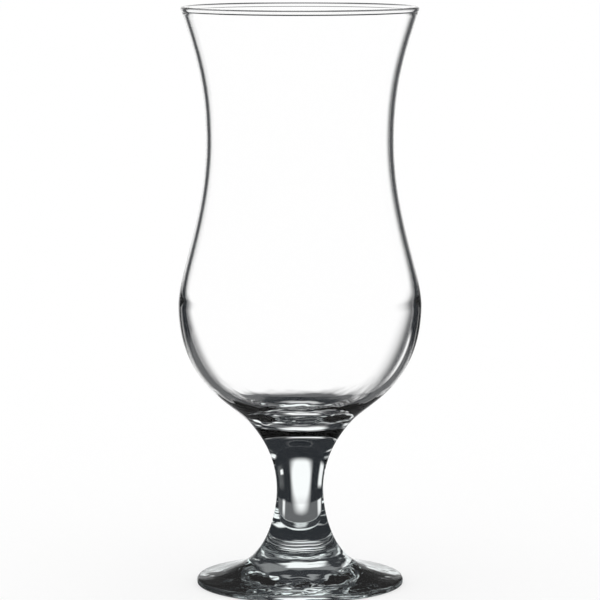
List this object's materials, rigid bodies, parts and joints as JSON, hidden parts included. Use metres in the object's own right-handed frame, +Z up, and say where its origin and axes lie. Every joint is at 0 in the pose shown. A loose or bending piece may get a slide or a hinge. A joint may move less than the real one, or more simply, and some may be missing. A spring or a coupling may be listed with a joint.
{
  "type": "hurricane glass",
  "caption": "Tall stemmed cocktail glass of clear glass: flared mouth, narrow waist, round bulb, short flared stem and round foot.",
  "frame": {"origin": "centre of the ring that the foot stands on, on the glass's axis", "axes": "+Z up the axis from the table to the rim; X and Y level, and alike because the glass is round"},
  "size_m": [0.084, 0.084, 0.2],
  "materials": {
    "bowl_glass": "clear, blown and fire-polished",
    "stem_glass": "clear, pressed and fire-polished",
    "foot_glass": "clear, pressed and fire-polished"
  },
  "bodies": {
    "root": {"bowl": "bowl_glass", "stem": "stem_glass", "foot": "foot_glass"}
  },
  "joints": []
}
